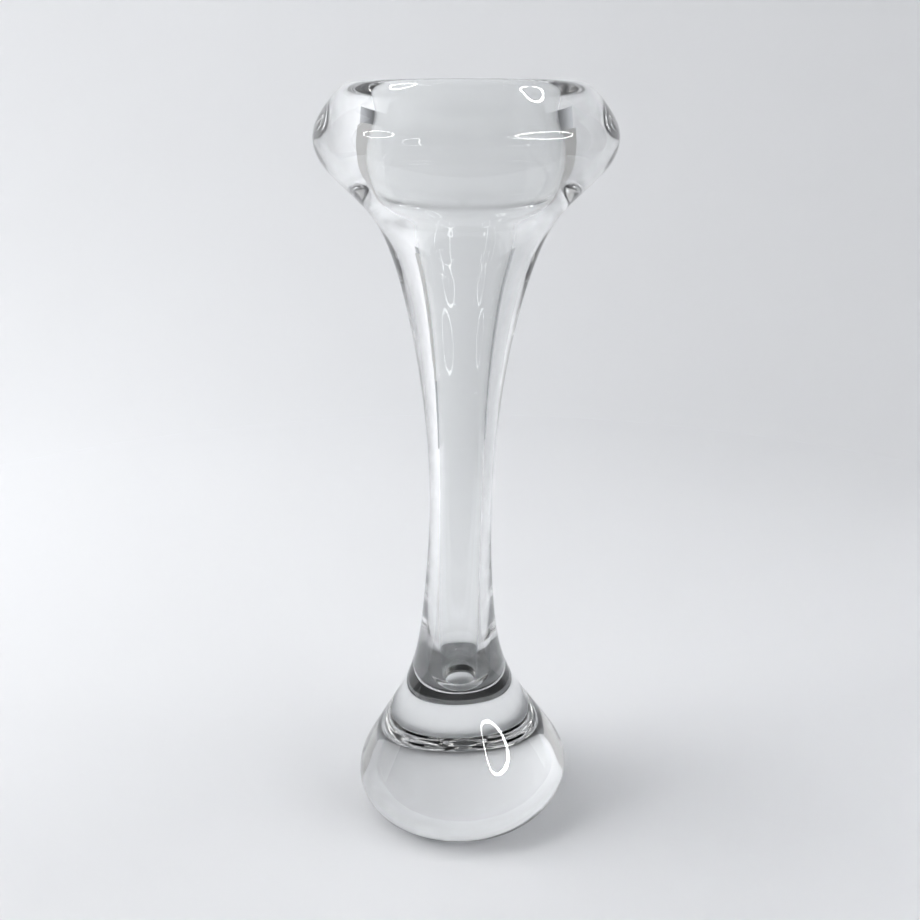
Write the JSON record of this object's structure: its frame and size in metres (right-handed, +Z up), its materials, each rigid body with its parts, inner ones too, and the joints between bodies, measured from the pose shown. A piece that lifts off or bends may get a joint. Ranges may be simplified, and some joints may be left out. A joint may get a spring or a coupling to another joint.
{
  "type": "bud vase",
  "caption": "Clear glass bud vase with a flared thick-lipped mouth, a narrow bored stem and a solid round weighted foot.",
  "frame": {"origin": "centre of the flat disc under the foot, on the plane that the vase stands on", "axes": "+Z up along the vase's axis and out of its mouth; +X and +Y are alike"},
  "size_m": [0.0778, 0.0778, 0.21],
  "materials": {
    "clear_glass": "fire-polished clear glass"
  },
  "bodies": {
    "root": {"flared_mouth": "clear_glass", "bored_stem": "clear_glass", "solid_foot": "clear_glass"}
  },
  "joints": []
}
